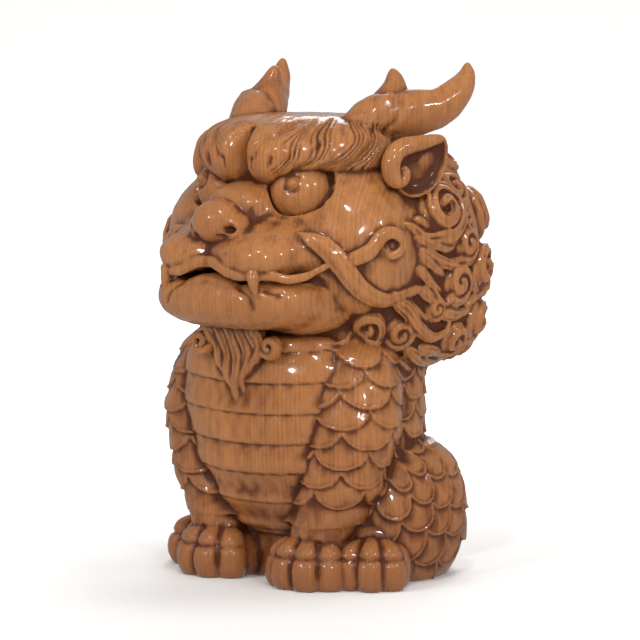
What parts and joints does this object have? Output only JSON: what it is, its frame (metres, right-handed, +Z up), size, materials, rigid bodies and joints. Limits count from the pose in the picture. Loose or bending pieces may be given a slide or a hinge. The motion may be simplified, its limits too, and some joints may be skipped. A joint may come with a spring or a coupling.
{
  "type": "qilin figure",
  "caption": "Seated qilin carved in lacquered wood, with forked horns, heavy brows, curled mane, stepped belly plates and scaled flanks.",
  "frame": {"origin": "centre of the bounding box at the underside, on the surface the figure stands on", "axes": "+Z up through the figure, -Y the way it faces, +X to its own left side"},
  "size_m": [0.1168, 0.1276, 0.1983],
  "materials": {
    "lacquered_wood": "carved hardwood with straight vertical grain under clear gloss lacquer, darker in the recesses"
  },
  "bodies": {
    "root": {"qilin_figure": "lacquered_wood"}
  },
  "joints": []
}
